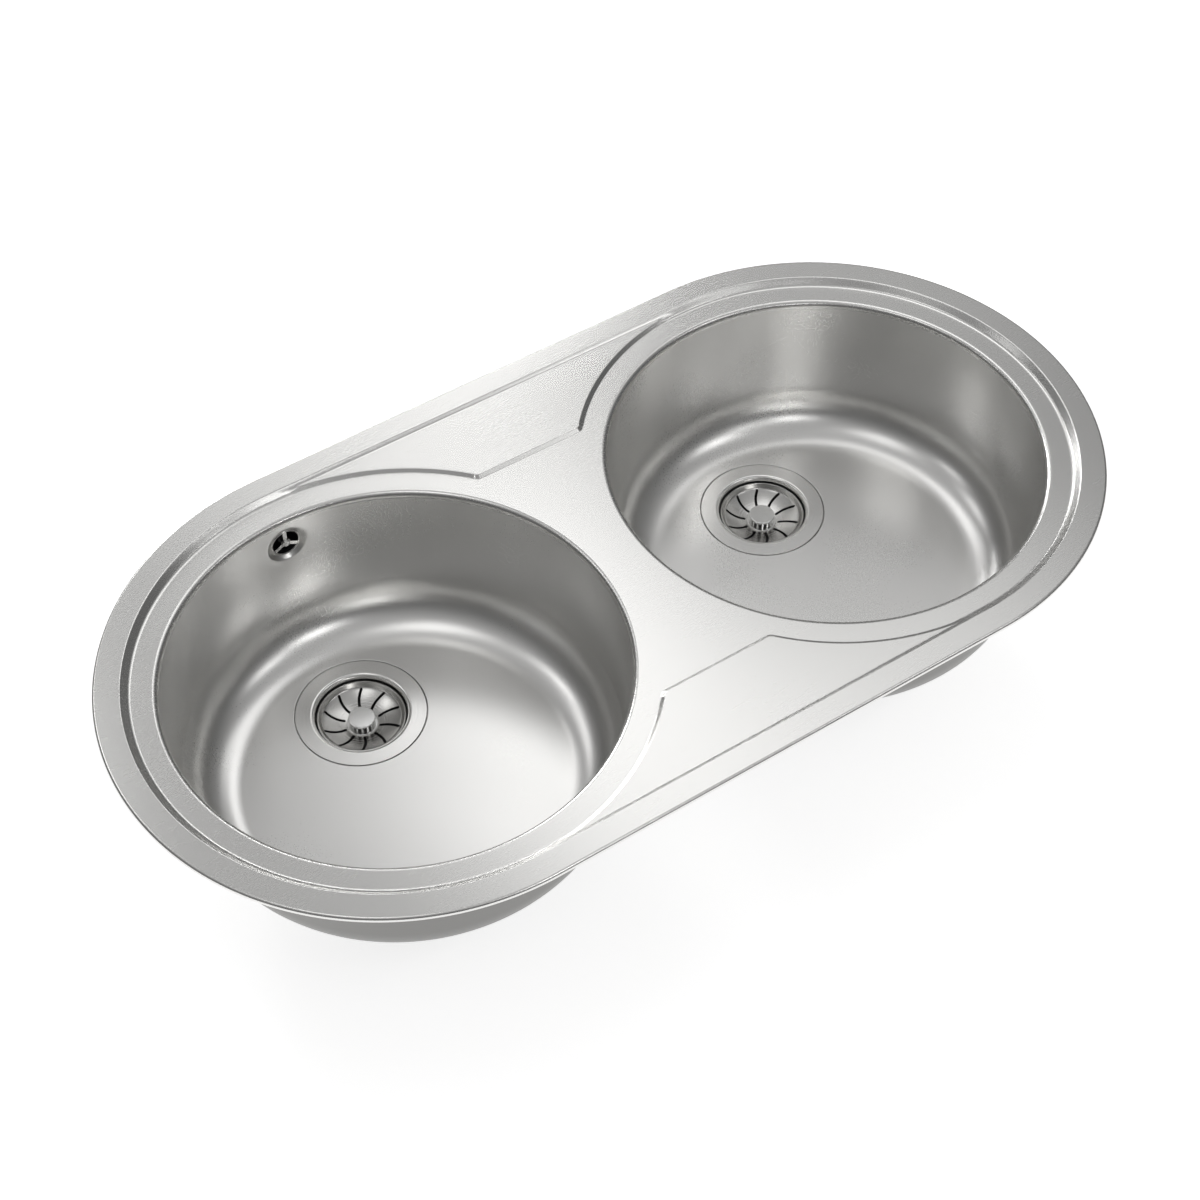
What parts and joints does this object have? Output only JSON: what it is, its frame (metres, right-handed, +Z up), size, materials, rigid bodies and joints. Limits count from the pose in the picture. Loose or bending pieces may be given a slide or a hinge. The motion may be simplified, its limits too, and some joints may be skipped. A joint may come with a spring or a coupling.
{
  "type": "double bowl kitchen sink",
  "caption": "Inset stainless steel double bowl kitchen sink with round bowls, raised deck panels, lift-out basket strainers, an overflow hose and swinging clips under the rim.",
  "frame": {"origin": "middle of the sink's outline on the plane of the worktop that the rim rests on", "axes": "+X along the sink to the right as the user sees it, +Y to the back, +Z up out of the worktop"},
  "size_m": [0.913, 0.482, 0.2298],
  "materials": {
    "satin_steel": "satin stainless steel",
    "polished_steel": "bright pressed stainless steel",
    "polished_knob": "polished",
    "overflow_steel": "polished",
    "steel_screw": "plain stainless steel",
    "zinc_steel": "zinc plated, matt",
    "zinc_screw": "zinc plated, bright",
    "claw_steel": "zinc plated, matt",
    "spring_steel": "bright band steel",
    "white_plastic": "moulded polypropylene, fine grain",
    "grey_hose": "soft grey hose",
    "black_rubber": "matt moulded rubber",
    "foam": "closed cell foam",
    "flange_foam": "closed cell foam",
    "bitumen_pad": "damping pad, pebbled",
    "brass": "turned"
  },
  "bodies": {
    "sink": {"deck": "satin_steel", "left_bowl": "satin_steel", "right_bowl": "satin_steel", "rim_seal": "foam", "left_sound_pad": "bitumen_pad", "right_sound_pad": "bitumen_pad", "clip_brackets": "zinc_steel", "overflow_face": "overflow_steel", "overflow_screw": "steel_screw", "overflow_seal": "black_rubber", "overflow_elbow": "white_plastic", "overflow_hose": "grey_hose", "hose_clips": "spring_steel", "left_waste_flange": "polished_steel", "left_flange_seal": "flange_foam", "left_body_seal": "black_rubber", "left_waste_body": "white_plastic", "left_waste_insert": "brass", "left_waste_screw": "steel_screw", "right_waste_flange": "polished_steel", "right_flange_seal": "flange_foam", "right_body_seal": "black_rubber", "right_waste_body": "white_plastic", "right_waste_insert": "brass", "right_waste_screw": "steel_screw"},
    "left_strainer": {"left_strainer": "polished_steel", "left_strainer_seal": "black_rubber", "left_strainer_knob": "polished_knob", "left_strainer_stem": "steel_screw"},
    "right_strainer": {"right_strainer": "polished_steel", "right_strainer_seal": "black_rubber", "right_strainer_knob": "polished_knob", "right_strainer_stem": "steel_screw"},
    "screw_front_left": {"clip_screw_front_left": "zinc_screw"},
    "claw_front_left": {"clip_claw_front_left": "claw_steel"},
    "screw_front_right": {"clip_screw_front_right": "zinc_screw"},
    "claw_front_right": {"clip_claw_front_right": "claw_steel"},
    "screw_back_left": {"clip_screw_back_left": "zinc_screw"},
    "claw_back_left": {"clip_claw_back_left": "claw_steel"},
    "screw_back_right": {"clip_screw_back_right": "zinc_screw"},
    "claw_back_right": {"clip_claw_back_right": "claw_steel"},
    "screw_left_front": {"clip_screw_left_front": "zinc_screw"},
    "claw_left_front": {"clip_claw_left_front": "claw_steel"},
    "screw_left_back": {"clip_screw_left_back": "zinc_screw"},
    "claw_left_back": {"clip_claw_left_back": "claw_steel"},
    "screw_right_front": {"clip_screw_right_front": "zinc_screw"},
    "claw_right_front": {"clip_claw_right_front": "claw_steel"},
    "screw_right_back": {"clip_screw_right_back": "zinc_screw"},
    "claw_right_back": {"clip_claw_right_back": "claw_steel"}
  },
  "joints": [
    {"name": "left_strainer_lift", "type": "slide", "parent": "sink", "child": "left_strainer", "axis": [0, 0, 1], "range_m": [0, 0.2]},
    {"name": "right_strainer_lift", "type": "slide", "parent": "sink", "child": "right_strainer", "axis": [0, 0, 1], "range_m": [0, 0.2]},
    {"name": "clip_front_left_travel", "type": "slide", "parent": "sink", "child": "screw_front_left", "axis": [0, 0, 1], "range_m": [0, 0.012]},
    {"name": "clip_front_left_swing", "type": "hinge", "parent": "screw_front_left", "child": "claw_front_left", "pos_m": [-0.098, -0.2035, -0.042], "axis": [0, 0, 1], "range_deg": [0, 90]},
    {"name": "clip_front_right_travel", "type": "slide", "parent": "sink", "child": "screw_front_right", "axis": [0, 0, 1], "range_m": [0, 0.012]},
    {"name": "clip_front_right_swing", "type": "hinge", "parent": "screw_front_right", "child": "claw_front_right", "pos_m": [0.098, -0.2035, -0.042], "axis": [0, 0, 1], "range_deg": [0, 90]},
    {"name": "clip_back_left_travel", "type": "slide", "parent": "sink", "child": "screw_back_left", "axis": [0, 0, 1], "range_m": [0, 0.012]},
    {"name": "clip_back_left_swing", "type": "hinge", "parent": "screw_back_left", "child": "claw_back_left", "pos_m": [-0.098, 0.2035, -0.042], "axis": [0, 0, 1], "range_deg": [0, 90]},
    {"name": "clip_back_right_travel", "type": "slide", "parent": "sink", "child": "screw_back_right", "axis": [0, 0, 1], "range_m": [0, 0.012]},
    {"name": "clip_back_right_swing", "type": "hinge", "parent": "screw_back_right", "child": "claw_back_right", "pos_m": [0.098, 0.2035, -0.042], "axis": [0, 0, 1], "range_deg": [0, 90]},
    {"name": "clip_left_front_travel", "type": "slide", "parent": "sink", "child": "screw_left_front", "axis": [0, 0, 1], "range_m": [0, 0.012]},
    {"name": "clip_left_front_swing", "type": "hinge", "parent": "screw_left_front", "child": "claw_left_front", "pos_m": [-0.3594, -0.1439, -0.042], "axis": [0, 0, 1], "range_deg": [0, 90]},
    {"name": "clip_left_back_travel", "type": "slide", "parent": "sink", "child": "screw_left_back", "axis": [0, 0, 1], "range_m": [0, 0.012]},
    {"name": "clip_left_back_swing", "type": "hinge", "parent": "screw_left_back", "child": "claw_left_back", "pos_m": [-0.3594, 0.1439, -0.042], "axis": [0, 0, 1], "range_deg": [0, 90]},
    {"name": "clip_right_front_travel", "type": "slide", "parent": "sink", "child": "screw_right_front", "axis": [0, 0, 1], "range_m": [0, 0.012]},
    {"name": "clip_right_front_swing", "type": "hinge", "parent": "screw_right_front", "child": "claw_right_front", "pos_m": [0.3594, -0.1439, -0.042], "axis": [0, 0, 1], "range_deg": [0, 90]},
    {"name": "clip_right_back_travel", "type": "slide", "parent": "sink", "child": "screw_right_back", "axis": [0, 0, 1], "range_m": [0, 0.012]},
    {"name": "clip_right_back_swing", "type": "hinge", "parent": "screw_right_back", "child": "claw_right_back", "pos_m": [0.3594, 0.1439, -0.042], "axis": [0, 0, 1], "range_deg": [0, 90]}
  ]
}
